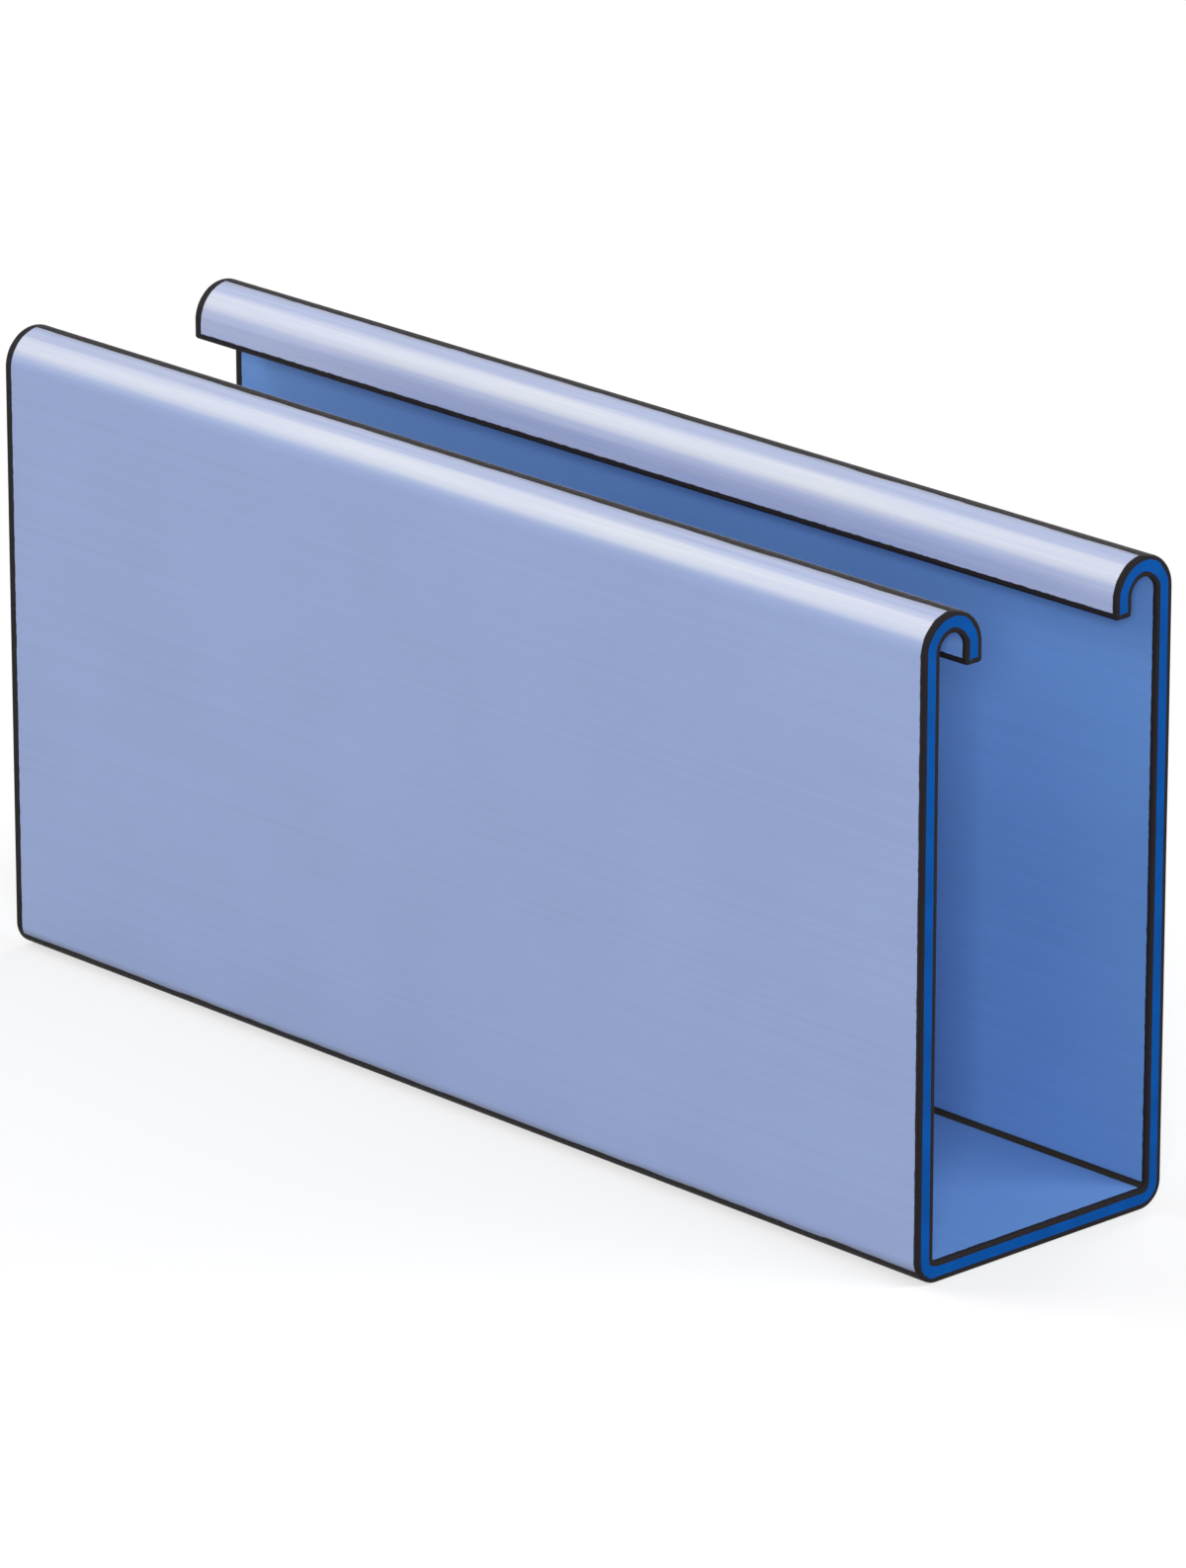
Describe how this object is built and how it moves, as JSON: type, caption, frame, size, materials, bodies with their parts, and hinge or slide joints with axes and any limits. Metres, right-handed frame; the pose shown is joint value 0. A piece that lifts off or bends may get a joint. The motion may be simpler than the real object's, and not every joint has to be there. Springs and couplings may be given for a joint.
{
  "type": "strut channel",
  "caption": "Short length of deep, unpunched strut channel: a tall U section of folded steel strip whose curled-in lips leave a slot along its open side for nuts and clips.",
  "frame": {"origin": "middle of the back of the web, which is the bottom of the channel as it stands", "axes": "+X along the channel, +Y across it, +Z from the web up to the open slot"},
  "size_m": [0.165, 0.0412, 0.0825],
  "materials": {
    "blue_coating": "semi-gloss coil coating on steel strip: light blue outside, mid blue inside, deep blue on the sawn ends, dark bare steel along the arrises"
  },
  "bodies": {
    "root": {"strut_channel": "blue_coating"}
  },
  "joints": []
}
